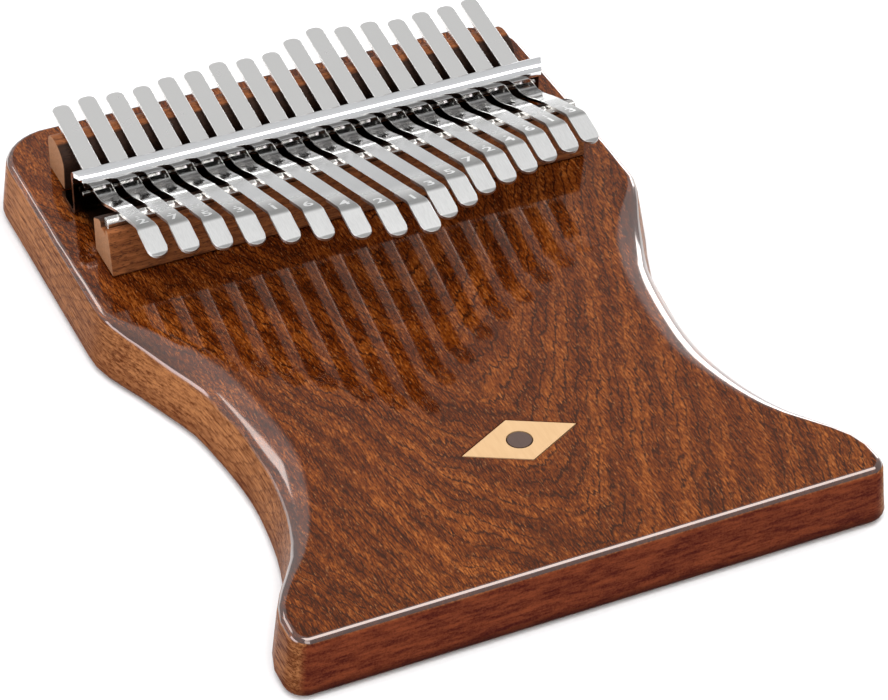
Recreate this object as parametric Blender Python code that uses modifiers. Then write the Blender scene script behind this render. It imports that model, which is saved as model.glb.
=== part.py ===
"""Seventeen-key mbira: a solid wooden body, two wooden bridge blocks, a pressure
bracket and seventeen spring-steel tines. Metres, +Z up, the player at -Y.
The origin is the centre of the flat underside of the body."""
import math

import bmesh
import bpy
import numpy as np
from mathutils import Matrix, Vector

# ---------------------------------------------------------------- driving sizes
GAP = 0.0003                    # air between neighbouring pieces

TINE_COUNT = 17
TINE_PITCH = 0.0070             # centre to centre
TINE_THICKNESS = 0.0009
TINE_REAR_WIDTH = 0.0048
TINE_NECK_WIDTH = 0.0043
TINE_TIP_WIDTH = 0.0049
TINE_TIP_LENGTH = 0.0085        # the turned-down end that the thumb plucks
TINE_RISE = math.radians(18.5)  # slope from the saddle to the tip's bend
TINE_DROOP = math.radians(14.0)  # slope of the turned-down end
TINE_BEND_RADIUS = 0.0050
TINE_SWING = math.radians(1.2)  # how far a plucked tine turns about the saddle
LONGEST_REACH = 0.0531          # saddle to tip of the lowest note
REACH_OFFSET = 0.0033           # part of the sounding length behind the saddle
REAR_REACH = 0.0115             # rear block crest to the tines' rear ends

BODY_LENGTH = 0.2044
BODY_THICKNESS = 0.0162
BODY_REAR_WIDTH = 0.1446        # at the underside
BODY_WAIST_WIDTH = 0.1136
BODY_FRONT_WIDTH = 0.1452
BACK_CORNER_RADIUS = 0.0140
FRONT_CORNER_RADIUS = 0.0050
EDGE_RADIUS = 0.0022
REAR_LEAN = 0.0017              # how far each side leans in at the back
WAIST_LEAN = 0.0026
FRONT_LEAN = 0.0014
WAIST_Y = -0.0404               # where the body is narrowest
WAIST_BEVEL_WIDTH = 0.0095      # carved grip bevel at the waist
WAIST_BEVEL_DEPTH = 0.0048
BEVEL_CREASE = math.radians(10.0)  # angle between the bevel's inner edge and the top

FRONT_BLOCK_MARGIN = 0.0063      # each end, beyond the outermost tine's middle
FRONT_BLOCK_DEPTH = 0.0124
FRONT_BLOCK_BACK_HEIGHT = 0.0098
FRONT_BLOCK_FRONT_HEIGHT = 0.0120
FRONT_BLOCK_SLOPE = 0.0019      # how far its front face leans back
FRONT_BLOCK_Y = 0.0340          # front face at the foot

REAR_BLOCK_MARGIN = 0.0050
REAR_BLOCK_DEPTH = 0.0120
REAR_BLOCK_HEIGHT = 0.0116
REAR_BLOCK_Y = 0.0720           # front face at the foot

BRACKET_MARGIN = 0.0063
SHEET = 0.0012
BRACKET_WALL_Y = 0.0616         # middle of the upright wall
BRACKET_HEIGHT = 0.0138         # above the top of the body
BRACKET_FLANGE = 0.0094         # foot flange, from the wall towards the rear block
BRACKET_SHELF = 0.0050          # top flange, from the wall to its rolled edge
BRACKET_LIP = 0.0024            # how far the rolled edge comes down
BRACKET_BEND_RADIUS = 0.0016
BRACKET_CORNER = 0.0026         # rounding of the shelf's corners in plan
WINDOW_WIDTH = 0.0056
WINDOW_HEIGHT = 0.0036

SADDLE_SIZE = 0.0028            # square bar
SADDLE_INSET = 0.0009           # its end stands back from the block's end
SADDLE_Y = 0.0394               # middle of the bar
SADDLE_SUNK = 0.0012            # depth of its seat in the front block
ROD_RADIUS = 0.00075
ROD_MARGIN = 0.0045

SCREW_PITCHES = (-6.5, -2.5, 2.5, 6.5)   # places between tines, in tine pitches
SCREW_RADIUS = 0.0015
SCREW_LENGTH = 0.0110
SCREW_HEAD_RADIUS = 0.0029
SCREW_HEAD_HEIGHT = 0.0017
SCREW_SLOT = 0.0007

INLAY_LENGTH = 0.0280           # along X
INLAY_WIDTH = 0.0150
INLAY_THICKNESS = 0.0012
INLAY_DOT_RADIUS = 0.0028
INLAY_Y = -0.0600

# ---------------------------------------------------------------- derived sizes
TOP = BODY_THICKNESS
MIDDLE = (TINE_COUNT - 1) / 2
TINE_SPAN = (TINE_COUNT - 1) * TINE_PITCH
FRONT_BLOCK_LENGTH = TINE_SPAN + 2 * FRONT_BLOCK_MARGIN
REAR_BLOCK_LENGTH = TINE_SPAN + 2 * REAR_BLOCK_MARGIN
BRACKET_LENGTH = TINE_SPAN + 2 * BRACKET_MARGIN
ROD_LENGTH = TINE_SPAN + 2 * ROD_MARGIN
SADDLE_TOP = TOP + FRONT_BLOCK_FRONT_HEIGHT - SADDLE_SUNK + SADDLE_SIZE
HALF_TINE = TINE_THICKNESS / 2
SADDLE_TINE_Z = SADDLE_TOP + GAP + HALF_TINE
LIP_Y = BRACKET_WALL_Y - BRACKET_SHELF
LIP_BOTTOM = TOP + BRACKET_HEIGHT - BRACKET_LIP - SHEET
SWING_ROOM = GAP + (LIP_Y - SADDLE_Y) * math.sin(TINE_SWING)
LIP_TINE_Z = LIP_BOTTOM - SWING_ROOM - HALF_TINE
CREST_Y = REAR_BLOCK_Y + REAR_BLOCK_DEPTH / 2
CREST_TINE_Z = TOP + REAR_BLOCK_HEIGHT + GAP + HALF_TINE
REAR_SLOPE = (CREST_TINE_Z - LIP_TINE_Z) / (CREST_Y - LIP_Y)

# Steps of the major scale in semitones, from the lowest note up; the notes go
# outwards from the middle tine, turn about, beginning on the player's left.
SCALE = (0, 2, 4, 5, 7, 9, 11)
# How far each tine was slid back when it was tuned, in millimetres.
TUNING_SLIDE = (-1, 0, -1, -1, 0, 0, 1, 0, 0, 3, 5, 3, 2.5, 1, 1.5, 1.5, 2)


# ---------------------------------------------------------------- helpers
def clear_scene():
    for old in list(bpy.data.objects):
        bpy.data.objects.remove(old, do_unlink=True)


def make_collection(name):
    collection = bpy.data.collections.new(name)
    bpy.context.scene.collection.children.link(collection)
    return collection


def make_material(name, colour, roughness, metallic=0.0):
    material = bpy.data.materials.new(name)
    material.use_nodes = True
    shader = material.node_tree.nodes["Principled BSDF"]
    shader.inputs["Base Color"].default_value = (*colour, 1.0)
    shader.inputs["Roughness"].default_value = roughness
    shader.inputs["Metallic"].default_value = metallic
    return material


def add_object(name, data, material, collection):
    item = bpy.data.objects.new(name, data)
    if material is not None:
        item.data.materials.append(material)
    collection.objects.link(item)
    return item


def finish_mesh(shape, name, smooth_angle=35.0):
    """Turn a bmesh into a mesh with outward faces, smooth but for its edges."""
    bmesh.ops.recalc_face_normals(shape, faces=shape.faces)
    mesh = bpy.data.meshes.new(name)
    shape.to_mesh(mesh)
    shape.free()
    mesh.shade_smooth()
    mesh.set_sharp_from_angle(angle=math.radians(smooth_angle))
    return mesh


def loft(name, rings):
    """Closed rings of equal count, joined side to side and capped at both ends."""
    shape = bmesh.new()
    loops = [[shape.verts.new(point) for point in ring] for ring in rings]
    for low, high in zip(loops, loops[1:]):
        for i in range(len(low)):
            j = (i + 1) % len(low)
            shape.faces.new((low[i], low[j], high[j], high[i]))
    shape.faces.new(loops[0][::-1])
    shape.faces.new(loops[-1])
    return finish_mesh(shape, name)


def extrude_outline(name, outline, length, material, collection):
    """A prism along X whose section is an outline of (y, z) points."""
    curve = bpy.data.curves.new(name, "CURVE")
    curve.dimensions = "2D"
    curve.fill_mode = "BOTH"
    curve.extrude = length / 2
    spline = curve.splines.new("POLY")
    spline.points.add(len(outline) - 1)
    for point, (y, z) in zip(spline.points, outline):
        point.co = (y, z, 0.0, 1.0)
    spline.use_cyclic_u = True
    prism = add_object(name, curve, material, collection)
    prism.rotation_euler = (math.pi / 2, 0.0, math.pi / 2)
    return prism


def curve_to_mesh(item, collection):
    """Replace a curve object by a welded mesh of the same name and place."""
    bpy.context.view_layer.update()
    graph = bpy.context.evaluated_depsgraph_get()
    mesh = bpy.data.meshes.new_from_object(item.evaluated_get(graph))
    shape = bmesh.new()
    shape.from_mesh(mesh)
    bmesh.ops.remove_doubles(shape, verts=shape.verts, dist=1e-6)
    bmesh.ops.recalc_face_normals(shape, faces=shape.faces)
    shape.to_mesh(mesh)
    shape.free()
    name = item.name
    place = item.matrix_world.copy()
    bpy.data.objects.remove(item, do_unlink=True)
    solid = bpy.data.objects.new(name, mesh)
    solid.matrix_world = place
    collection.objects.link(solid)
    return solid


def cylinder(name, radius, depth, centre, collection, segments=24):
    shape = bmesh.new()
    bmesh.ops.create_cone(shape, cap_ends=True, segments=segments, radius1=radius,
                          radius2=radius, depth=depth, matrix=Matrix.Translation(centre))
    return add_object(name, finish_mesh(shape, name), None, collection)


def box(name, size, centre, collection):
    shape = bmesh.new()
    bmesh.ops.create_cube(shape, size=1.0)
    bmesh.ops.transform(shape, verts=shape.verts,
                        matrix=Matrix.Translation(centre) @ Matrix.Diagonal((*size, 1.0)))
    return add_object(name, finish_mesh(shape, name), None, collection)


def cut(target, cutter):
    cutter.hide_render = True
    cutter.display_type = "WIRE"
    boolean = target.modifiers.new(cutter.name, "BOOLEAN")
    boolean.operation = "DIFFERENCE"
    boolean.object = cutter


def arc(centre, radius, start, end, steps):
    """Points on an arc in a plane, from one angle to another in degrees."""
    angles = np.radians(np.linspace(start, end, steps + 1))
    return [(centre[0] + radius * math.cos(a), centre[1] + radius * math.sin(a)) for a in angles]


def smooth_through(knots, values, at):
    """A smooth curve through a few points, level at each high and low."""
    knots = np.array(knots)
    values = np.array(values)
    slopes = np.zeros(len(knots))
    steps = np.diff(values) / np.diff(knots)
    for i in range(1, len(knots) - 1):
        if steps[i - 1] * steps[i] > 0:
            slopes[i] = 2 * steps[i - 1] * steps[i] / (steps[i - 1] + steps[i])
    i = int(np.clip(np.searchsorted(knots, at) - 1, 0, len(knots) - 2))
    width = knots[i + 1] - knots[i]
    t = min(max((at - knots[i]) / width, 0.0), 1.0)
    return float(values[i] * (1 + 2 * t) * (1 - t) ** 2 + values[i + 1] * t * t * (3 - 2 * t)
                 + width * (slopes[i] * t * (1 - t) ** 2 + slopes[i + 1] * t * t * (t - 1)))


# ---------------------------------------------------------------- body
def body_half_width(y):
    """Half width of the underside: full at the back, waisted, and flared in front."""
    front, back = -BODY_LENGTH / 2, BODY_LENGTH / 2
    rear, waist, flare = BODY_REAR_WIDTH / 2, BODY_WAIST_WIDTH / 2, BODY_FRONT_WIDTH / 2
    shoulder = WAIST_Y + 0.0652
    hip = front + 0.0083
    knots = (front, hip, WAIST_Y - 0.55 * (WAIST_Y - hip), WAIST_Y - 0.28 * (WAIST_Y - hip),
             WAIST_Y, WAIST_Y + 0.39 * (shoulder - WAIST_Y), WAIST_Y + 0.67 * (shoulder - WAIST_Y),
             shoulder, back)
    halves = (flare, flare, waist + 0.285 * (flare - waist), waist + 0.077 * (flare - waist),
              waist, waist + 0.157 * (rear - waist), waist + 0.542 * (rear - waist), rear, rear)
    return smooth_through(knots, halves, y)


def body_outline():
    """Points of the underside's outline, the whole way round, seen from above."""
    front, back = -BODY_LENGTH / 2, BODY_LENGTH / 2
    right = []
    radius = FRONT_CORNER_RADIUS
    half = body_half_width(front + radius)
    right += arc((half - radius, front + radius), radius, -90, 0, 7)
    for y in np.linspace(front + radius, back - BACK_CORNER_RADIUS, 40)[1:-1]:
        right.append((body_half_width(y), float(y)))
    radius = BACK_CORNER_RADIUS
    half = body_half_width(back - radius)
    right += arc((half - radius, back - radius), radius, 0, 90, 8)
    left = [(-x, y) for x, y in reversed(right)]
    return right + left


def outward_normals(outline):
    normals = []
    for i in range(len(outline)):
        before, after = Vector(outline[i - 1]), Vector(outline[(i + 1) % len(outline)])
        along = (after - before).normalized()
        normals.append(Vector((along.y, -along.x)))
    return normals


def waist_share(y):
    """0 where the top edge is plainly rounded, 1 in the middle of the grip bevel."""
    front, rear = WAIST_Y - 0.050, WAIST_Y + 0.064
    knots = (front, WAIST_Y - 0.022, WAIST_Y, WAIST_Y + 0.036, rear)
    return smooth_through(knots, (0.0, 0.62, 1.0, 1.0, 0.0), y)


def build_body(material, collection):
    outline = body_outline()
    normals = outward_normals(outline)
    arc_steps = 7
    profiles = []
    for (x, y), normal in zip(outline, normals):
        share = waist_share(y) * abs(normal.x)
        width = EDGE_RADIUS + share * (WAIST_BEVEL_WIDTH - EDGE_RADIUS)
        depth = EDGE_RADIUS + share * (WAIST_BEVEL_DEPTH - EDGE_RADIUS)
        crease = share * BEVEL_CREASE
        lean = abs(normal.x) * smooth_through((-0.45 * BODY_LENGTH, WAIST_Y, 0.3 * BODY_LENGTH),
                                              (FRONT_LEAN, WAIST_LEAN, REAR_LEAN), y)
        profile = []
        for a in np.linspace(0.0, math.pi / 2, arc_steps):
            inset = EDGE_RADIUS * (1 - math.sin(a))
            profile.append((inset, EDGE_RADIUS * (1 - math.cos(a))))
        for a in np.linspace(math.pi / 2, crease, arc_steps):
            inset = width * (1 - (math.sin(a) - math.sin(crease)) / (1 - math.sin(crease)))
            profile.append((inset + lean, TOP - depth * (1 - math.cos(a) / math.cos(crease))))
        profiles.append([(x - normal.x * inset, y - normal.y * inset, z) for inset, z in profile])
    rings = [list(ring) for ring in zip(*profiles)]
    return add_object("body", loft("body", rings), material, collection)


def lozenge(half_length, half_width, low, high, name):
    """An upright prism with four corners."""
    corners = ((half_length, 0.0), (0.0, half_width), (-half_length, 0.0), (0.0, -half_width))
    return loft(name, [[(x, y, z) for x, y in corners] for z in (low, high)])


def build_inlay(body, maple, rosewood, parts, cutters):
    """A maple lozenge with a dark round centre, let flush into the body's top."""
    half_length, half_width = INLAY_LENGTH / 2, INLAY_WIDTH / 2
    depth = INLAY_THICKNESS
    grow = GAP * math.hypot(half_length, half_width) / half_width
    pocket_width = half_width * (half_length + grow) / half_length
    pocket = lozenge(half_length + grow, pocket_width, -depth - GAP, depth, "inlay_pocket")
    cutter = add_object("inlay_pocket", pocket, None, cutters)
    cutter.location = (0.0, INLAY_Y, TOP)
    cut(body, cutter)
    field = add_object("inlay_lozenge", lozenge(half_length, half_width, -depth, 0.0, "inlay"),
                       maple, parts)
    field.location = (0.0, INLAY_Y, TOP)
    centre = (0.0, INLAY_Y, TOP - depth / 2)
    cut(field, cylinder("inlay_hole", INLAY_DOT_RADIUS + GAP, 3 * depth, centre, cutters))
    dot = cylinder("inlay_dot", INLAY_DOT_RADIUS, depth, centre, parts)
    dot.data.materials.append(rosewood)


# ---------------------------------------------------------------- bridge blocks
def build_front_block(material, parts, cutters):
    """The front bridge: a bar of raw wood whose top carries the saddle in a seat."""
    foot, back = FRONT_BLOCK_Y, FRONT_BLOCK_Y + FRONT_BLOCK_DEPTH
    low, shelf = TOP + GAP, FRONT_BLOCK_Y + 0.45 * FRONT_BLOCK_DEPTH + SADDLE_SIZE
    outline = [(foot, low), (back, low), (back, TOP + FRONT_BLOCK_BACK_HEIGHT),
               (shelf, TOP + FRONT_BLOCK_FRONT_HEIGHT),
               (foot + FRONT_BLOCK_SLOPE, TOP + FRONT_BLOCK_FRONT_HEIGHT)]
    block = extrude_outline("front_bridge", outline, FRONT_BLOCK_LENGTH, None, parts)
    block = curve_to_mesh(block, parts)
    block.data.materials.append(material)
    seat = SADDLE_SIZE + 2 * GAP
    depth = SADDLE_SUNK + GAP
    centre = (0.0, SADDLE_Y, TOP + FRONT_BLOCK_FRONT_HEIGHT)
    cut(block, box("saddle_seat", (2 * FRONT_BLOCK_LENGTH, seat, 2 * depth), centre, cutters))
    return block


def build_saddle(material, collection):
    """The metal saddle: a square bar whose upper edges are eased."""
    half, top = SADDLE_SIZE / 2, SADDLE_TOP
    ease = SADDLE_SIZE / 4
    outline = [(SADDLE_Y - half, top - SADDLE_SIZE), (SADDLE_Y + half, top - SADDLE_SIZE),
               (SADDLE_Y + half, top - ease), (SADDLE_Y + half - ease, top),
               (SADDLE_Y - half + ease, top), (SADDLE_Y - half, top - ease)]
    length = FRONT_BLOCK_LENGTH - 2 * SADDLE_INSET
    return extrude_outline("saddle_bar", outline, length, material, collection)


def build_rear_block(material, collection):
    """The rear bridge: flat behind, with a round crest that the tines lie across."""
    foot, back = REAR_BLOCK_Y, REAR_BLOCK_Y + REAR_BLOCK_DEPTH
    low, height = TOP + GAP, REAR_BLOCK_HEIGHT
    front_radius = 0.55 * REAR_BLOCK_DEPTH
    back_radius = REAR_BLOCK_DEPTH - front_radius
    outline = [(foot + 0.0008, low), (back, low)]
    for a in np.radians(np.linspace(0, 90, 6)):
        outline.append((back - back_radius * (1 - math.cos(a)),
                        TOP + height - 0.30 * height * (1 - math.sin(a))))
    for a in np.radians(np.linspace(90, 180, 9))[1:]:
        outline.append((foot + front_radius * (1 + math.cos(a)),
                        TOP + height - 0.42 * height * (1 - math.sin(a))))
    return extrude_outline("rear_bridge", outline, REAR_BLOCK_LENGTH, material, collection)


# ---------------------------------------------------------------- pressure bracket
def bracket_profile():
    """Middle line of the sheet, from the rear edge of the foot to the lip's end."""
    radius = BRACKET_BEND_RADIUS
    foot_z = TOP + GAP + SHEET / 2
    shelf_z = TOP + BRACKET_HEIGHT - SHEET / 2
    wall = BRACKET_WALL_Y
    lip = LIP_Y + SHEET / 2
    lip_radius = min(radius, BRACKET_LIP)
    points = [(wall + BRACKET_FLANGE, foot_z)]
    points += arc((wall + radius, foot_z + radius), radius, -90, -180, 4)
    points += arc((wall - radius, shelf_z - radius), radius, 0, 90, 4)
    points += arc((lip + lip_radius, shelf_z - lip_radius), lip_radius, 90, 180, 4)
    points.append((lip, LIP_BOTTOM + SHEET / 2))
    return points


def build_bracket(material, parts, cutters):
    """Bent sheet: a screwed foot, a wall with a window for each tine, and a rolled shelf."""
    profile = bracket_profile()
    columns = 24
    shape = bmesh.new()
    grid = []
    for y, z in profile:
        reach = max(0.0, BRACKET_CORNER - max(0.0, y - LIP_Y))
        past = reach if z > TOP + BRACKET_HEIGHT / 2 else 0.0
        half = BRACKET_LENGTH / 2 - BRACKET_CORNER + math.sqrt(BRACKET_CORNER ** 2 - past ** 2)
        half -= SHEET / 2 if past > 0 else 0.0
        grid.append([shape.verts.new((half * (2 * i / columns - 1), y, z))
                     for i in range(columns + 1)])
    for low, high in zip(grid, grid[1:]):
        for i in range(columns):
            shape.faces.new((low[i], low[i + 1], high[i + 1], high[i]))
    bracket = add_object("pressure_bracket", finish_mesh(shape, "pressure_bracket"), material, parts)
    sheet = bracket.modifiers.new("sheet", "SOLIDIFY")
    sheet.thickness = SHEET
    sheet.offset = 0.0
    sheet.use_even_offset = True
    middle = LIP_TINE_Z + REAR_SLOPE * (BRACKET_WALL_Y - LIP_Y)
    middle += (BRACKET_WALL_Y - SADDLE_Y) * math.sin(TINE_SWING) / 2
    cut(bracket, window_cutter(middle, cutters))
    for i, place in enumerate(SCREW_PITCHES):
        centre = (place * TINE_PITCH, screw_y(), TOP)
        cutter = cylinder(f"bracket_hole_{i + 1}", SCREW_RADIUS + GAP, 6 * SHEET, centre, cutters, 16)
        cut(bracket, cutter)
    return bracket


def window_cutter(middle, collection):
    """Seventeen prisms along Y, each a slot with round ends."""
    shape = bmesh.new()
    radius = min(WINDOW_HEIGHT, WINDOW_WIDTH) / 2
    flat = WINDOW_WIDTH / 2 - radius
    section = arc((flat, 0.0), radius, -90, 90, 6) + arc((-flat, 0.0), radius, 90, 270, 6)
    for i in range(TINE_COUNT):
        x = (i - MIDDLE) * TINE_PITCH
        ends = []
        for y in (BRACKET_WALL_Y - 2 * SHEET, BRACKET_WALL_Y + 2 * SHEET):
            ends.append([shape.verts.new((x + u, y, middle + v)) for u, v in section])
        near, far = ends
        shape.faces.new(near)
        shape.faces.new(far[::-1])
        for j in range(len(section)):
            k = (j + 1) % len(section)
            shape.faces.new((near[k], near[j], far[j], far[k]))
    return add_object("tine_windows", finish_mesh(shape, "tine_windows"), None, collection)


def screw_y():
    """The screws' line, in the middle of the foot's flat part."""
    return BRACKET_WALL_Y + (BRACKET_FLANGE + SHEET) / 2 + BRACKET_BEND_RADIUS / 2


def build_screws(material, body, parts, cutters):
    """Slotted wood screws that hold the bracket's foot down on the body."""
    seat = TOP + 2 * GAP + SHEET
    dome = SCREW_HEAD_HEIGHT
    profile = [(0.0, seat + dome)]
    for share in (0.35, 0.65, 0.88, 1.0):
        profile.append((share * SCREW_HEAD_RADIUS, seat + dome * math.sqrt(1 - 0.75 * share ** 2)))
    profile += [(SCREW_HEAD_RADIUS, seat), (SCREW_RADIUS, seat),
                (SCREW_RADIUS, seat - SCREW_LENGTH + 2 * SCREW_RADIUS), (0.0, seat - SCREW_LENGTH)]
    for i, place in enumerate(SCREW_PITCHES):
        x = place * TINE_PITCH
        shape = bmesh.new()
        verts = [shape.verts.new((r, 0.0, z)) for r, z in profile]
        for a, b in zip(verts, verts[1:]):
            shape.edges.new((a, b))
        mesh = bpy.data.meshes.new(f"bracket_screw_{i + 1}")
        shape.to_mesh(mesh)
        shape.free()
        screw = add_object(f"bracket_screw_{i + 1}", mesh, material, parts)
        screw.location = (x, screw_y(), 0.0)
        turn = screw.modifiers.new("turn", "SCREW")
        turn.steps = 16
        turn.render_steps = 16
        turn.use_merge_vertices = True
        turn.merge_threshold = 0.00002
        slot_size = (3 * SCREW_HEAD_RADIUS, SCREW_SLOT, SCREW_HEAD_HEIGHT)
        slot = box(f"screw_slot_{i + 1}", slot_size, (x, screw_y(), seat + dome), cutters)
        cut(screw, slot)
        depth = SCREW_LENGTH + GAP
        centre = (x, screw_y(), TOP - depth / 2 + SHEET)
        hole = cylinder(f"screw_hole_{i + 1}", SCREW_RADIUS + GAP, depth + 2 * SHEET, centre,
                        cutters, 16)
        cut(body, hole)


def build_rod(material, collection):
    """The round wire that lies against the wall, just under the tines."""
    curve = bpy.data.curves.new("stop_rod", "CURVE")
    curve.dimensions = "3D"
    curve.bevel_depth = ROD_RADIUS
    curve.bevel_resolution = 2
    curve.use_fill_caps = True
    spline = curve.splines.new("POLY")
    spline.points.add(1)
    y = BRACKET_WALL_Y - SHEET / 2 - GAP - ROD_RADIUS
    z = LIP_TINE_Z - HALF_TINE - 2 * GAP - ROD_RADIUS
    for point, x in zip(spline.points, (-ROD_LENGTH / 2, ROD_LENGTH / 2)):
        point.co = (x, y, z, 1.0)
    return add_object("stop_rod", curve, material, collection)


# ---------------------------------------------------------------- tines
def note_of(index):
    """Rank of a tine's note above the lowest, which is the middle tine's."""
    side = index - MIDDLE
    return int(2 * abs(side)) - (1 if side < 0 else 0)


def reach_of(index):
    """Saddle to tip: the sounding length falls with the root of the frequency."""
    octave, step = divmod(note_of(index), len(SCALE))
    semitones = 12 * octave + SCALE[step]
    return (LONGEST_REACH + REACH_OFFSET) * 2 ** (-semitones / 24) - REACH_OFFSET


def tine_path(index):
    """Middle line of a tine from rear end to tip, as (y, z, width) stations."""
    slide = TUNING_SLIDE[index] * 0.001
    rear_y = CREST_Y + REAR_REACH + slide
    reach = reach_of(index)
    half_rear, half_tip = TINE_REAR_WIDTH / 2, TINE_TIP_WIDTH / 2
    stations = []
    for a in np.radians((18, 38, 60, 90)):
        y = rear_y - half_rear * (1 - math.cos(a)) * 0.7
        stations.append((y, CREST_TINE_Z + REAR_SLOPE * (y - CREST_Y), TINE_REAR_WIDTH * math.sin(a)))
    stations.append((CREST_Y, CREST_TINE_Z, TINE_REAR_WIDTH))
    rise = math.tan(TINE_RISE)
    # One smooth curve from the lip to the saddle's rear edge, straight over the saddle.
    edge_y = SADDLE_Y + SADDLE_SIZE / 2
    edge_z = SADDLE_TINE_Z - rise * SADDLE_SIZE / 2
    span = LIP_Y - edge_y
    for share in (0.0, 0.2, 0.4, 0.6, 0.8, 1.0):
        y = LIP_Y - share * span
        blend = (LIP_TINE_Z * (1 + 2 * share) * (1 - share) ** 2
                 + edge_z * share ** 2 * (3 - 2 * share)
                 - span * REAR_SLOPE * share * (1 - share) ** 2
                 + span * rise * share ** 2 * (share - 1))
        width = TINE_REAR_WIDTH + share * (TINE_NECK_WIDTH - TINE_REAR_WIDTH)
        stations.append((y, blend, width))
    stations.append((SADDLE_Y, SADDLE_TINE_Z, TINE_NECK_WIDTH))
    tip_y = SADDLE_Y - reach
    radius = TINE_BEND_RADIUS
    half_turn = radius * math.sin(TINE_RISE)
    crown_y = tip_y + TINE_TIP_LENGTH * math.cos(TINE_DROOP) + radius * math.sin(TINE_DROOP)
    start_y = crown_y + half_turn
    start_z = SADDLE_TINE_Z + rise * (SADDLE_Y - start_y)
    centre_z = start_z - radius * math.cos(TINE_RISE)
    for turn in np.linspace(TINE_RISE, -TINE_DROOP, 7):
        share = (TINE_RISE - turn) / (TINE_RISE + TINE_DROOP)
        width = TINE_NECK_WIDTH + share * (TINE_TIP_WIDTH - TINE_NECK_WIDTH)
        stations.append((crown_y + radius * math.sin(turn), centre_z + radius * math.cos(turn), width))
    end_y, end_z = stations[-1][:2]
    fall = math.tan(TINE_DROOP)
    for a in np.radians((90, 62, 42, 24, 10)):
        y = tip_y + half_tip * (1 - math.cos(a))
        stations.append((y, end_z - fall * (end_y - y), TINE_TIP_WIDTH * math.sin(a)))
    return stations


def build_tine(index, material, collection):
    """One tine, its origin on the axis where it turns over the saddle."""
    name = f"tine_{index + 1:02d}"
    x = (index - MIDDLE) * TINE_PITCH
    pivot = Vector((x, SADDLE_Y, SADDLE_TOP + GAP))
    shape = bmesh.new()
    rows = []
    for y, z, width in tine_path(index):
        rows.append([shape.verts.new(Vector((x + side * width / 2, y, z)) - pivot)
                     for side in (-1, 1)])
    for (a, b), (c, d) in zip(rows, rows[1:]):
        shape.faces.new((a, b, d, c))
    tine = add_object(name, finish_mesh(shape, name), material, collection)
    tine.location = pivot
    plate = tine.modifiers.new("plate", "SOLIDIFY")
    plate.thickness = TINE_THICKNESS
    plate.offset = 0.0
    plate.use_even_offset = True
    return tine


# ---------------------------------------------------------------- assembly
clear_scene()
parts = make_collection("mbira")
cutters = make_collection("mbira_cutters")
lacquered = make_material("lacquered_wood", (0.17, 0.072, 0.030), 0.22)
raw_wood = make_material("raw_wood", (0.36, 0.19, 0.095), 0.65)
chrome = make_material("chromed_steel", (0.80, 0.80, 0.80), 0.10, 1.0)
steel = make_material("tine_steel", (0.72, 0.72, 0.70), 0.20, 1.0)
maple_wood = make_material("maple", (0.70, 0.55, 0.36), 0.30)
dark_wood = make_material("dark_wood", (0.060, 0.025, 0.014), 0.30)
zinc = make_material("zinc_plated_steel", (0.62, 0.61, 0.58), 0.30, 1.0)

body_object = build_body(lacquered, parts)
build_inlay(body_object, maple_wood, dark_wood, parts, cutters)
build_front_block(raw_wood, parts, cutters)
build_saddle(chrome, parts)
build_rear_block(raw_wood, parts)
build_bracket(chrome, parts, cutters)
build_screws(zinc, body_object, parts, cutters)
build_rod(chrome, parts)
for tine_index in range(TINE_COUNT):
    build_tine(tine_index, steel, parts)
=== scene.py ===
"""A seventeen-tine mbira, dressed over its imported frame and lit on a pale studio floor."""
import math

import bmesh
import bpy
import numpy as np
from mathutils import Matrix, Vector


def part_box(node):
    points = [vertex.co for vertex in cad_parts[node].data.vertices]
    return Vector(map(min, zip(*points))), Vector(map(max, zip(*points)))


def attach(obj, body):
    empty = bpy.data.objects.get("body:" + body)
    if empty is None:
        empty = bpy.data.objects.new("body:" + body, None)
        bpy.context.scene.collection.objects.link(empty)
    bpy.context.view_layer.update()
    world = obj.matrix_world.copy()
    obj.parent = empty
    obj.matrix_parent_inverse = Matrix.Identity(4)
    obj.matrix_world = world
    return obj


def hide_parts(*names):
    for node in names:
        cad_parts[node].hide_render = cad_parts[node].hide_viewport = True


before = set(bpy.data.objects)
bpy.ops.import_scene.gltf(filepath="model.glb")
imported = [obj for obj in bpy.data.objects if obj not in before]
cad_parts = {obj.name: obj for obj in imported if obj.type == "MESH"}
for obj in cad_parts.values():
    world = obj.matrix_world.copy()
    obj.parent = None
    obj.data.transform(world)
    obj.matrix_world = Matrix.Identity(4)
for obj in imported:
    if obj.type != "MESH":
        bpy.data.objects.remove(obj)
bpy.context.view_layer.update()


# ==== The board ============================================================
# One plank of figured brown hardwood, sawn to a waisted outline, sanded round
# at its edges, carved to a grip bevel at the waist, and sprayed with several
# coats of gloss lacquer.
class Socket:
    """A socket of a node, usable in arithmetic with numbers and other sockets."""

    def __init__(self, finish, link):
        self.finish = finish
        self.link = link

    def math(self, operation, *others):
        values = dict(enumerate((self, *others)))
        return self.finish.node("ShaderNodeMath", {"operation": operation}, values)

    def __add__(self, other):
        return self.math("ADD", other)

    def __sub__(self, other):
        return self.math("SUBTRACT", other)

    def __mul__(self, other):
        return self.math("MULTIPLY", other)

    def __truediv__(self, other):
        return self.math("DIVIDE", other)

    def __pow__(self, other):
        return self.math("POWER", other)

    def __neg__(self):
        return self.math("MULTIPLY", -1.0)

    def __abs__(self):
        return self.math("ABSOLUTE")

    def __rsub__(self, other):
        return (-self) + other

    __radd__ = __add__
    __rmul__ = __mul__

    def sine(self):
        return self.math("SINE")

    def step(self, low, high):
        """0 below low, 1 above high, and smooth between; reversed where low > high."""
        values = {"Value": self, "From Min": low, "From Max": high}
        return self.finish.node("ShaderNodeMapRange", {"interpolation_type": "SMOOTHSTEP"}, values)


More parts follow.
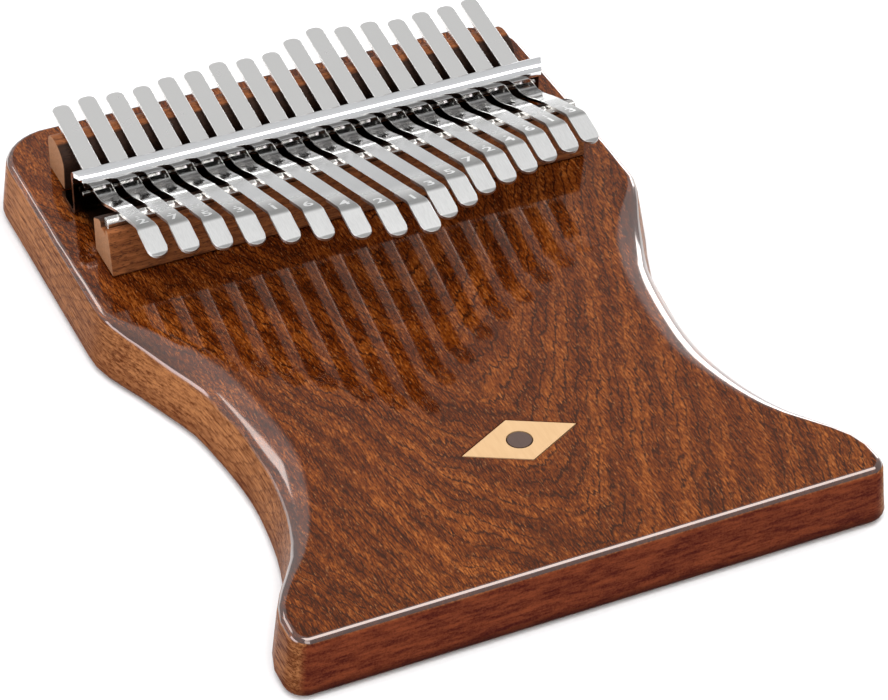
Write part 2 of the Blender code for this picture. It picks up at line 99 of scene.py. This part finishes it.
class Finish:
    """A material and its nodes. node() adds any node; feed() sets the surface."""

    def __init__(self, name):
        self.material = bpy.data.materials.new(name)
        self.material.use_nodes = True
        self.tree = self.material.node_tree
        self.surface = self.tree.nodes["Principled BSDF"]

    def join(self, node, values):
        for key, value in values.items():
            if isinstance(value, Socket):
                self.tree.links.new(value.link, node.inputs[key])
            else:
                node.inputs[key].default_value = value

    def node(self, kind, settings=None, values=None, output=0):
        node = self.tree.nodes.new(kind)
        for key, value in (settings or {}).items():
            if key == "stops":
                ramp = node.color_ramp.elements
                while len(ramp) < len(value):
                    ramp.new(0.5)
                for element, (place, colour) in zip(ramp, value):
                    element.position = place
                    element.color = (*colour, 1.0)
            else:
                setattr(node, key, value)
        self.join(node, values or {})
        return Socket(self, node.outputs[output])

    def place(self, output="Object"):
        """A point of the piece in the frame's own metres."""
        return self.node("ShaderNodeTexCoord", output=output)

    def axes(self, vector):
        split = self.node("ShaderNodeSeparateXYZ", values={"Vector": vector})
        return [Socket(self, output) for output in split.link.node.outputs]

    def grain(self, vector, stretch, detail=3.0, roughness=0.55):
        """Noise of about 0 to 1 whose cells per metre differ along the three axes."""
        scaled = self.node("ShaderNodeVectorMath", {"operation": "MULTIPLY"},
                           {0: vector, 1: stretch})
        values = {"Vector": scaled, "Scale": 1.0, "Detail": detail, "Roughness": roughness}
        return self.node("ShaderNodeTexNoise", values=values)

    def mix(self, share, first, second, blend="MIX"):
        """Two colours mixed by a share; a colour is a socket or three numbers."""
        ends = [c if isinstance(c, Socket) else (*c, 1.0) for c in (first, second)]
        settings = {"data_type": "RGBA", "blend_type": blend}
        return self.node("ShaderNodeMix", settings, {"Factor": share, 6: ends[0], 7: ends[1]}, 2)

    def bump(self, height, distance, strength=1.0):
        values = {"Height": height, "Distance": distance, "Strength": strength}
        return self.node("ShaderNodeBump", values=values)

    def feed(self, **values):
        """Set the surface's sockets, such as Base_Color or Coat_Weight."""
        self.join(self.surface, {key.replace("_", " "): value for key, value in values.items()})
        return self.material


def dress(name, material):
    """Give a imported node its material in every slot."""
    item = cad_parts[name]
    for slot in item.material_slots:
        slot.material = material


def smooth_copy(node, label, material, ease=0.0, crease=38.0):
    """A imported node's shape, welded and smooth between its creases, its edges eased."""
    shape = bmesh.new()
    shape.from_mesh(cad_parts[node].data)
    bmesh.ops.remove_doubles(shape, verts=shape.verts, dist=1e-6)
    bmesh.ops.dissolve_limit(shape, angle_limit=math.radians(0.05), verts=shape.verts,
                             edges=shape.edges)
    mesh = bpy.data.meshes.new(label)
    shape.to_mesh(mesh)
    shape.free()
    mesh.materials.clear()
    mesh.materials.append(material)
    mesh.shade_smooth()
    mesh.set_sharp_from_angle(angle=math.radians(crease))
    piece = bpy.data.objects.new(label, mesh)
    bpy.context.scene.collection.objects.link(piece)
    if ease:
        rounding = piece.modifiers.new("eased edges", "BEVEL")
        rounding.width = ease
        rounding.segments = 2
        rounding.limit_method = "ANGLE"
        rounding.angle_limit = math.radians(crease + 6)
    flats = piece.modifiers.new("flat faces stay flat", "WEIGHTED_NORMAL")
    flats.weight = 80
    flats.keep_sharp = True
    return piece


def stand_in(piece, node, body):
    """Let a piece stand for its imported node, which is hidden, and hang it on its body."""
    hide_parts(node)
    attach(piece, body)


LINE_SPACING = 0.0062           # between the dark growth lines
HAIR_SPACING = 0.0024           # between the fine lines among them
BAND_SPACING = 0.0230           # between the broad light and dark bands
ARCH_MIDDLE = 0.010             # the arches' middle line, right of the board's
ARCH_WIDTH = 0.020
ARCH_LENGTH = 0.058
LINE_STAIN = (0.013, 0.0022, 0.0008)
HAIR_STAIN = (0.021, 0.0038, 0.0011)
PORE_STAIN = (0.014, 0.0024, 0.0008)
PAINTED_GLINT = (0.40, 0.170, 0.060)
RIM_SHADE = (0.016, 0.0020, 0.0008)
TINE_SHADOW_COLOUR = (0.006, 0.0035, 0.0022)
END_DEEP, END_PALE = (0.046, 0.0055, 0.0040), (0.185, 0.0420, 0.0150)
END_FOOT_SHADE = (0.022, 0.003, 0.002)
SIDE_DEEP, SIDE_PALE = (0.080, 0.018, 0.0045), (0.370, 0.152, 0.056)
SIDE_LINE = (0.050, 0.010, 0.003)
SIDE_FOOT_SHADE = (0.060, 0.010, 0.003)


def figured_board():
    """Lacquered wood, painted nearly black where the tines roof it over, as painted shade; its
    rims and foot are painted darker, as painted shade too.
    """
    bridge_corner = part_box("front_bridge")[1]
    front_of_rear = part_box("rear_bridge")[0].y
    finish = Finish("lacquered_figured_wood")
    place = finish.place()
    x, y, z = finish.axes(place)
    slow = finish.grain(place, (22, 9, 22), 2.0) - 0.5
    lively = finish.grain(place, (210, 60, 210), 2.0, 0.6) - 0.5
    stepped = finish.grain(place, (1150, 130, 1150), 2.0, 0.65) - 0.5
    # Growth rings cut by the saw as arches whose points face the player; each
    # fibre carries them a little further on than its neighbour does.
    across = (x + slow * 0.022 + z * 0.6 - ARCH_MIDDLE) / ARCH_WIDTH
    along = y + slow * 0.020 + lively * 0.0100 + stepped * 0.0062
    ring = along - ((across * across + 1.0) ** 0.5 - 1.0) * ARCH_LENGTH
    hand = finish.grain(place, (70, 30, 70), 3.0, 0.6)
    line = abs((ring * (math.pi / LINE_SPACING)).sine())
    line = line.step(0.46, 0.04) * hand.step(0.32, 0.54)
    hair = abs((ring * (math.pi / HAIR_SPACING) + 0.7).sine()).step(0.60, 0.12)
    hair = hair * finish.grain(place, (110, 30, 110), 2.0).step(0.42, 0.60)
    band = (ring * (math.tau / BAND_SPACING) + lively * 3.0).sine() * 0.5 + 0.5
    cloud = finish.grain(place, (45, 17, 45), 3.0)
    fibre = finish.grain(place, (2300, 260, 2300), 2.0, 0.65)
    dash = finish.grain(place, (3400, 620, 3400), 2.0, 0.7)
    tone = band * 0.26 + cloud * 0.60 + fibre * 1.55 + dash * 1.45 - 1.49
    stops = [(0.0, (0.018, 0.0028, 0.0004)), (0.35, (0.074, 0.0125, 0.0012)),
             (0.65, (0.155, 0.0350, 0.0040)), (1.0, (0.330, 0.0980, 0.0180))]
    wood = finish.node("ShaderNodeValToRGB", {"stops": stops}, {"Fac": tone})
    wood = finish.mix(line * 0.88, wood, LINE_STAIN)
    wood = finish.mix(hair * 0.55, wood, HAIR_STAIN)
    pores = dash.step(0.40, 0.30)
    wood = finish.mix(pores * 0.75, wood, PORE_STAIN)
    # Painted glints: small pale flecks scattered through the colour.
    painted_glints = finish.grain(place, (3300, 620, 3300), 1.0).step(0.64, 0.76)
    wood = finish.mix(painted_glints * 0.42, wood, PAINTED_GLINT)
    # The rounded front and back rims are painted darker, as painted shade. The
    # lacquer is built up over every edge and bevel, and rubbed thin on the flat top.
    _, facing_y, facing_z = finish.axes(finish.place("Normal"))
    flat = facing_z.step(0.975, 0.996)
    edge = facing_z.step(0.10, 0.30) * (1.0 - flat)
    rim = edge * abs(facing_y).step(0.10, 0.30)
    wood = finish.mix(rim * 0.80, wood, RIM_SHADE)
    # Painted shade: the flat top between the bridges, under the tines, is painted nearly black.
    tine_shadow = y.step(bridge_corner.y - 0.001, bridge_corner.y + 0.001) * flat
    tine_shadow = tine_shadow * y.step(front_of_rear, front_of_rear - 0.001)
    tine_shadow = tine_shadow * abs(x).step(bridge_corner.x - 0.0005, bridge_corner.x - 0.0035)
    wood = finish.mix(tine_shadow * 0.94, wood, TINE_SHADOW_COLOUR)
    relief = finish.bump(fibre * 0.3 - pores, 0.000012, 0.25)
    finish.feed(Base_Color=wood, Roughness=hand * 0.02 + 0.040, Normal=relief,
                Specular_Tint=(1.0, 0.38, 0.12, 1.0), Coat_Weight=edge * 0.92 + 0.08,
                Coat_Roughness=0.10, Coat_IOR=1.95)
    # The sawn sides and ends under a thinner coat: the ends drink the stain, so
    # they are darker and redder, and mottled instead of lined.
    end = abs(facing_y).step(0.70, 0.95)
    mottle = finish.grain(place, (150, 150, 800), 3.0, 0.65) * 0.7 + fibre * 0.3
    dark_end = finish.mix(mottle.step(0.3, 0.7), END_DEEP, END_PALE)
    # Painted shade: the ends darken towards the floor.
    dark_end = finish.mix(z.step(0.0045, 0.0005), dark_end, END_FOOT_SHADE)
    streak = finish.grain(place, (900, 45, 1500), 3.0, 0.6)
    share = (streak * 0.6 + fibre * 0.5 + cloud * 0.3 - 0.2).step(0.30, 0.70)
    grain = finish.mix(share, SIDE_DEEP, SIDE_PALE)
    grain = finish.mix(line * 0.45, grain, SIDE_LINE)
    # Painted shade: the sides darken towards the floor.
    grain = finish.mix(z.step(0.0075, 0.0) * 0.55, grain, SIDE_FOOT_SHADE)
    sawn = finish.mix(end, grain, dark_end)
    sides = finish.node("ShaderNodeBsdfPrincipled", {}, {
        "Base Color": sawn, "Roughness": fibre * 0.08 + 0.24, "IOR": 1.045,
        "Coat Weight": 0.035, "Coat Roughness": 0.06, "Normal": relief})
    low_rim = abs(facing_y).step(0.30, 0.60) * facing_z.step(0.62, 0.52)
    upright = facing_z.step(0.62, 0.38).math("MAXIMUM", low_rim)
    both = finish.node("ShaderNodeMixShader", {}, {
        0: upright, 1: Socket(finish, finish.surface.outputs[0]), 2: sides})
    finish.join(finish.tree.nodes["Material Output"], {"Surface": both})
    return finish.material


board = smooth_copy("body", "board", figured_board())
stand_in(board, "body", "frame")


# ==== The inlay ============================================================
# A lozenge of maple veneer with a round plug of dark wood, glued into a pocket
# in the board and lacquered over with it.
def lacquered_veneer(name, pale, deep, stretch):
    finish = Finish(name)
    place = finish.place()
    lines = finish.grain(place, stretch, 3.0)
    cloud = finish.grain(place, (120, 60, 120), 2.0)
    colour = finish.mix(lines * 0.65 + cloud * 0.35, deep, pale)
    return finish.feed(Base_Color=colour, Roughness=cloud * 0.1 + 0.32,
                       Normal=finish.bump(lines, 0.00002, 0.4), Coat_Weight=1.0,
                       Coat_Roughness=0.035)


dress("inlay_lozenge", lacquered_veneer("maple_veneer", (0.66, 0.43, 0.22), (0.50, 0.29, 0.12),
                                        (1500, 160, 1500)))
dress("inlay_dot", lacquered_veneer("dark_plug", (0.085, 0.036, 0.020), (0.030, 0.012, 0.007),
                                    (1700, 200, 1700)))


# ==== The bridges ==========================================================
# Two bars of the same tree left unlacquered: a square one in front that
# carries the saddle, a round-topped one behind. Both are glued to the board,
# with the grain running from end to end.
LAYER_SPACING = 0.0021          # between a bar's growth layers
BAR_EDGE = 0.00035              # how far its edges are eased


def raw_bridge(name, pale, deep, shaded_span):
    """Raw wood, painted nearly black between two places along Y, as painted shade."""
    finish = Finish(name)
    place = finish.place()
    _, y, z = finish.axes(place)
    bend = finish.grain(place, (30, 120, 120), 2.0) - 0.5
    layer = ((y * 0.6 + z + bend * 0.004) * (math.tau / LAYER_SPACING)).sine() * 0.5 + 0.5
    fibre = finish.grain(place, (330, 2600, 2600), 3.0, 0.65)
    cloud = finish.grain(place, (45, 160, 160), 2.0)
    share = (layer * 0.10 + fibre * 0.90 + cloud * 0.35 - 0.18).step(0.22, 0.78)
    colour = finish.mix(share, deep, pale)
    pores = finish.grain(place, (900, 3000, 3000), 1.0).step(0.58, 0.66)
    colour = finish.mix(pores * 0.65, colour, (0.050, 0.017, 0.007))
    end = abs(finish.axes(finish.place("Normal"))[0]).step(0.7, 0.9)
    dots = finish.grain(place, (900, 1500, 1500), 2.0)
    end_grain = finish.mix(dots, (0.27, 0.12, 0.055), (0.60, 0.36, 0.20))
    colour = finish.mix(end * 0.5, colour, end_grain)
    # Painted shade: the wood between the two places along Y is painted nearly black.
    near, far, fade = *shaded_span, 0.0006
    bridge_shade = y.step(near - fade, near + fade) * y.step(far + fade, far - fade)
    colour = finish.mix(bridge_shade * (1.0 - end) * 0.93, colour, (0.012, 0.006, 0.004))
    relief = finish.bump(fibre - pores, 0.00009, 0.8)
    return finish.feed(Base_Color=colour, Roughness=fibre * 0.2 + 0.55, Normal=relief,
                       Specular_IOR_Level=0.12)


def add_bridge(node, pale, deep, shaded_span):
    wood = raw_bridge("raw_" + node, pale, deep, shaded_span)
    stand_in(smooth_copy(node, node + "_bar", wood, BAR_EDGE), node, "frame")


behind_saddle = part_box("saddle_bar")[1].y
add_bridge("front_bridge", (0.305, 0.104, 0.033), (0.098, 0.027, 0.009),
           (behind_saddle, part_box("front_bridge")[1].y + 0.002))
rear_low, rear_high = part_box("rear_bridge")
add_bridge("rear_bridge", (0.285, 0.096, 0.031), (0.082, 0.022, 0.007),
           (rear_low.y - 0.002, rear_low.y * 0.62 + rear_high.y * 0.38))


# ==== Bracket, saddle, stop rod and screws =================================
# The bracket is bent steel sheet and the saddle a drawn bar, both chromed; the
# stop rod is steel wire given a dark colour, as painted shade beneath the tines.
# Four slotted screws draw the bracket down.
SHEET_EDGE = 0.0002
SCREW_EDGE = 0.00012


def plated(name, colour, shade, roughness, scratch, shade_heights=None):
    """Plating over steel, its colour painted dark below any heights given, as painted shade under
    a lip.
    """
    finish = Finish(name)
    place = finish.place()
    haze = finish.grain(place, (90, 260, 260), 4.0)
    hairs = finish.grain(place, (70, 5200, 5200), 2.0, 0.7)
    tint = finish.mix(haze * 0.5, colour, shade)
    if shade_heights:
        height = finish.axes(place)[2]
        tint = finish.mix(height.step(*shade_heights), tint, (0.045, 0.036, 0.030))
    relief = finish.bump(hairs, 0.000006, scratch)
    return finish.feed(Base_Color=tint, Metallic=1.0, Roughness=haze * 0.05 + roughness,
                       Normal=relief)


worn_chrome = plated("worn_chrome", (0.66, 0.64, 0.61), (0.40, 0.38, 0.355), 0.22, 0.5)
# Painted shade: the stop rod's steel is given a dark colour.
rod_steel_in_shade = plated("rod_steel_in_shade", (0.30, 0.285, 0.27), (0.14, 0.13, 0.12), 0.16, 0.5)
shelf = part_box("pressure_bracket")[1].z
# Painted shade: the sheet is painted nearly black below the lip.
below_lip = (shelf - 0.0034, shelf - 0.0046)
bracket_chrome = plated("bracket_chrome", (0.94, 0.94, 0.94), (0.82, 0.82, 0.83), 0.06, 0.35,
                        below_lip)
for node, label, slot, plate in (
        ("pressure_bracket", "bracket_sheet", "bracket", bracket_chrome),
        ("saddle_bar", "saddle_rail", "saddle", worn_chrome),
        ("stop_rod", "stop_wire", "rod", rod_steel_in_shade)):
    stand_in(smooth_copy(node, label, plate, SHEET_EDGE), node, "frame")
zinc = plated("plated_screw", (0.78, 0.79, 0.82), (0.55, 0.56, 0.60), 0.20, 0.6)
for node in sorted(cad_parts):
    if node.startswith("bracket_screw"):
        screw = smooth_copy(node, node + "_turned", zinc, SCREW_EDGE)
        stand_in(screw, node, "frame")


# ==== The tines ============================================================
# Blades of spring steel with eased edges. The rear ends are left satin, the
# middles are polished, the flat before each tip is brushed and engraved with
# its note, and the turned-down tips are finely satin for the thumbs.
TIP = 0.0088                    # tip to the crown of the bend
BRUSHED = 0.0205                # tip to the end of the brushed, engraved flat
BLADE_EDGE = 0.00020
MARK_SIZE = 0.0050              # height of the font's square
MARK_WEIGHT = 0.00010           # how much its strokes are thickened
MARK_PROUD = 0.00003            # above the steel, clear of it
MARK_PLACE = 0.0036             # the mark's middle, behind the crown
FIRST_DOT = 0.0030              # from the mark's middle
DOT_SPACING = 0.0012
DOT_RADIUS = 0.00040
SADDLE_LINE = sum(corner.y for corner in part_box("saddle_bar")) / 2


def tine_steel():
    """Steel worked differently along the blade, by distance from the tip and the saddle."""
    finish = Finish("tine_spring_steel")
    place = finish.place()
    reach = finish.node("ShaderNodeAttribute", {"attribute_name": "from_tip"}, output="Fac")
    behind = finish.node("ShaderNodeAttribute", {"attribute_name": "behind"}, output="Fac")
    reach = reach + finish.grain(place, (160, 160, 160), 2.0) * 0.0006
    tip = reach.step(TIP + 0.0010, TIP - 0.0006)
    brushed = (1.0 - tip) * reach.step(BRUSHED + 0.0040, BRUSHED - 0.0050)
    rear = behind.step(0.020, 0.024)
    satin = finish.grain(place, (3800, 420, 420), 3.0, 0.7)
    strokes = finish.grain(place, (420, 5200, 5200), 3.0, 0.7)
    haze = finish.grain(place, (150, 150, 150), 3.0)
    colour = finish.mix(haze * 0.4, (0.90, 0.895, 0.88), (0.80, 0.795, 0.78))
    colour = finish.mix(rear * 0.8, colour, (0.80, 0.785, 0.76))
    ground = finish.mix(strokes, (0.26, 0.255, 0.245), (0.50, 0.495, 0.48))
    # Painted shade: the brushed flat is painted darker towards the bend and lighter behind it.
    ground = finish.mix(reach.step(TIP + 0.002, BRUSHED) * 0.7, ground, (0.86, 0.85, 0.83))
    colour = finish.mix(brushed, colour, ground)
    colour = finish.mix(tip, colour, finish.mix(satin, (0.60, 0.595, 0.58), (0.84, 0.835, 0.82)))
    # Painted reflection: a small dark glint at the very end of each tip.
    tip_glint = reach.step(0.0015, 0.0011)
    colour = finish.mix(tip_glint * 0.55, colour, (0.06, 0.055, 0.05))
    # Painted shade: the blade is painted dark where it passes under the bracket's lip.
    lip_shade = behind.step(0.0085, 0.0115) * behind.step(0.0165, 0.0140)
    colour = finish.mix(lip_shade * 0.75, colour, (0.075, 0.064, 0.055))
    rough = haze * 0.05 + 0.08 + brushed * 0.26 + tip * 0.22 + rear * 0.16
    relief = finish.bump(strokes * brushed + satin * (tip + rear * 0.7), 0.000012, 0.6)
    return finish.feed(Base_Color=colour, Metallic=1.0, Roughness=rough, Normal=relief)


def engraving():
    finish = Finish("engraved_mark")
    pits = finish.grain(finish.place(), (5200, 5200, 5200), 2.0)
    colour = finish.mix(pits, (0.86, 0.855, 0.84), (1.0, 1.0, 0.99))
    return finish.feed(Base_Color=colour, Metallic=1.0, Roughness=pits * 0.2 + 0.30)


def measure_blade(blade):
    """Write each point's distance from the tip, and behind the saddle, on a blade."""
    points = np.array([vertex.co for vertex in blade.data.vertices])
    tip = points[points[:, 1].argmin()]
    from_tip = np.hypot(points[:, 1] - tip[1], points[:, 2] - tip[2])
    for label, values in (("from_tip", from_tip), ("behind", points[:, 1] - SADDLE_LINE)):
        layer = blade.data.attributes.new(label, "FLOAT", "POINT")
        layer.data.foreach_set("value", values.astype(np.float32))


def top_of(blade, y):
    """Height and slope of a blade's upper face at a place along it."""
    faces = [face for face in blade.data.polygons if face.normal.z > 0.7]
    corners = sorted({tuple(blade.data.vertices[i].co)[1:] for face in faces
                      for i in face.vertices})
    ys, zs = np.array(corners).T
    reach = 0.0015
    ahead, behind = (float(np.interp(y + shift, ys, zs)) for shift in (-reach, reach))
    return (ahead + behind) / 2, math.atan2(behind - ahead, 2 * reach)


def make_mark(node, rank, blade, material):
    """A note's number, with a dot beyond it for each octave above the lowest."""
    text = bpy.data.curves.new(node + "_text", "FONT")
    text.body = str(rank % 7 + 1)
    text.align_x = "CENTER"
    text.align_y = "CENTER"
    text.size = MARK_SIZE
    text.offset = MARK_WEIGHT
    text.resolution_u = 3
    letter = bpy.data.objects.new(node + "_text", text)
    bpy.context.scene.collection.objects.link(letter)
    bpy.context.view_layer.update()
    graph = bpy.context.evaluated_depsgraph_get()
    mesh = bpy.data.meshes.new_from_object(letter.evaluated_get(graph))
    bpy.data.objects.remove(letter, do_unlink=True)
    shape = bmesh.new()
    shape.from_mesh(mesh)
    for dot in range(rank // 7):
        place = Matrix.Translation((0.0, FIRST_DOT + DOT_SPACING * dot, 0.0))
        bmesh.ops.create_circle(shape, cap_ends=True, segments=14, radius=DOT_RADIUS,
                                matrix=place)
    shape.to_mesh(mesh)
    shape.free()
    mesh.materials.clear()
    mesh.materials.append(material)
    mark = bpy.data.objects.new(node + "_mark", mesh)
    tip_y = min(vertex.co.y for vertex in blade.data.vertices)
    x = sum(corner.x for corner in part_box(node)) / 2
    y = tip_y + TIP + MARK_PLACE
    height, slope = top_of(blade, y)
    mark.location = (x, y, height + MARK_PROUD)
    mark.rotation_euler = (slope, 0.0, 0.0)
    bpy.context.scene.collection.objects.link(mark)
    return mark


steel = tine_steel()
engraved = engraving()
tine_nodes = sorted(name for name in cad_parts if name.startswith("tine_"))
middle = (len(tine_nodes) - 1) / 2
for number, node in enumerate(tine_nodes):
    blade = smooth_copy(node, node + "_blade", steel, BLADE_EDGE, 40.0)
    measure_blade(blade)
    stand_in(blade, node, node)
    rank = round(2 * abs(number - middle)) - (1 if number < middle else 0)
    mark = make_mark(node, rank, blade, engraved)
    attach(mark, node)


# ==== Floor, light and camera ==============================================
# A wide pale sheet under the instrument, soft boxes above and beside it, and
# a long lens that looks down from in front, a little to the player's left.
def add_floor():
    finish = Finish("pale_paper")
    tooth = finish.grain(finish.place(), (900, 900, 900), 2.0)
    colour = finish.mix(tooth, (0.86, 0.86, 0.86), (0.90, 0.90, 0.90))
    material = finish.feed(Base_Color=colour, Roughness=0.9)
    shape = bmesh.new()
    bmesh.ops.create_grid(shape, x_segments=8, y_segments=8, size=2.5)
    mesh = bpy.data.meshes.new("studio_floor")
    shape.to_mesh(mesh)
    shape.free()
    mesh.materials.append(material)
    floor = bpy.data.objects.new("studio_floor", mesh)
    floor.location = (0.0, 0.0, -0.0002)
    bpy.context.scene.collection.objects.link(floor)


def add_light(name, place, aim, size, power, colour=(1.0, 1.0, 1.0)):
    light = bpy.data.lights.new(name, "AREA")
    light.shape = "RECTANGLE"
    light.size, light.size_y = size
    light.energy = power
    light.color = colour
    item = bpy.data.objects.new(name, light)
    item.location = place
    item.rotation_euler = (Vector(aim) - Vector(place)).to_track_quat("-Z", "Y").to_euler()
    bpy.context.scene.collection.objects.link(item)


add_floor()
add_light("key_box", (-0.35, -1.05, 1.15), (0.0, 0.0, 0.0), (1.2, 0.8), 8.0)
add_light("overhead_box", (0.1, -0.18, 1.15), (0.1, -0.18, 0.0), (1.1, 0.60), 10.5)
add_light("rear_right_strip", (1.05, 1.10, 0.22), (0.0, 0.0, 0.02), (0.9, 0.34), 5.0)
add_light("rear_left_panel", (-0.62, 1.00, 0.80), (0.0, 0.0, 0.02), (0.5, 0.3), 1.4)
add_light("left_strip", (-1.2, 0.15, 0.35), (0.0, 0.0, 0.02), (0.9, 0.4), 4.0,
          (1.0, 0.93, 0.98))

world = bpy.data.worlds.new("studio")
world.use_nodes = True
studio = world.node_tree
sky = studio.nodes["Background"]
direction = studio.nodes.new("ShaderNodeTexCoord")
split = studio.nodes.new("ShaderNodeSeparateXYZ")
fade = studio.nodes.new("ShaderNodeValToRGB")
stops = ((0.0, 0.50), (0.30, 0.58), (0.50, 0.62), (0.70, 0.62), (0.79, 0.66), (1.0, 0.72))
while len(fade.color_ramp.elements) < len(stops):
    fade.color_ramp.elements.new(0.5)
for element, (height, level) in zip(fade.color_ramp.elements, stops):
    element.position = height
    element.color = (level, level * 1.01, level * 1.03, 1.0)
studio.links.new(direction.outputs["Generated"], split.inputs[0])
studio.links.new(split.outputs["Z"], fade.inputs[0])
studio.links.new(fade.outputs[0], sky.inputs["Color"])
bpy.context.scene.world = world
bpy.context.scene.view_settings.view_transform = "Standard"

camera_data = bpy.data.cameras.new("camera")
camera_data.lens = 135.58
camera_data.sensor_width = 36.0
camera_data.clip_start = 0.05
camera = bpy.data.objects.new("camera", camera_data)
camera.location = (-0.251792, -0.578995, 0.490854)
camera.rotation_euler = (math.radians(90.0 - 37.926), 0.0, math.radians(-24.206))
bpy.context.scene.collection.objects.link(camera)
bpy.context.scene.camera = camera
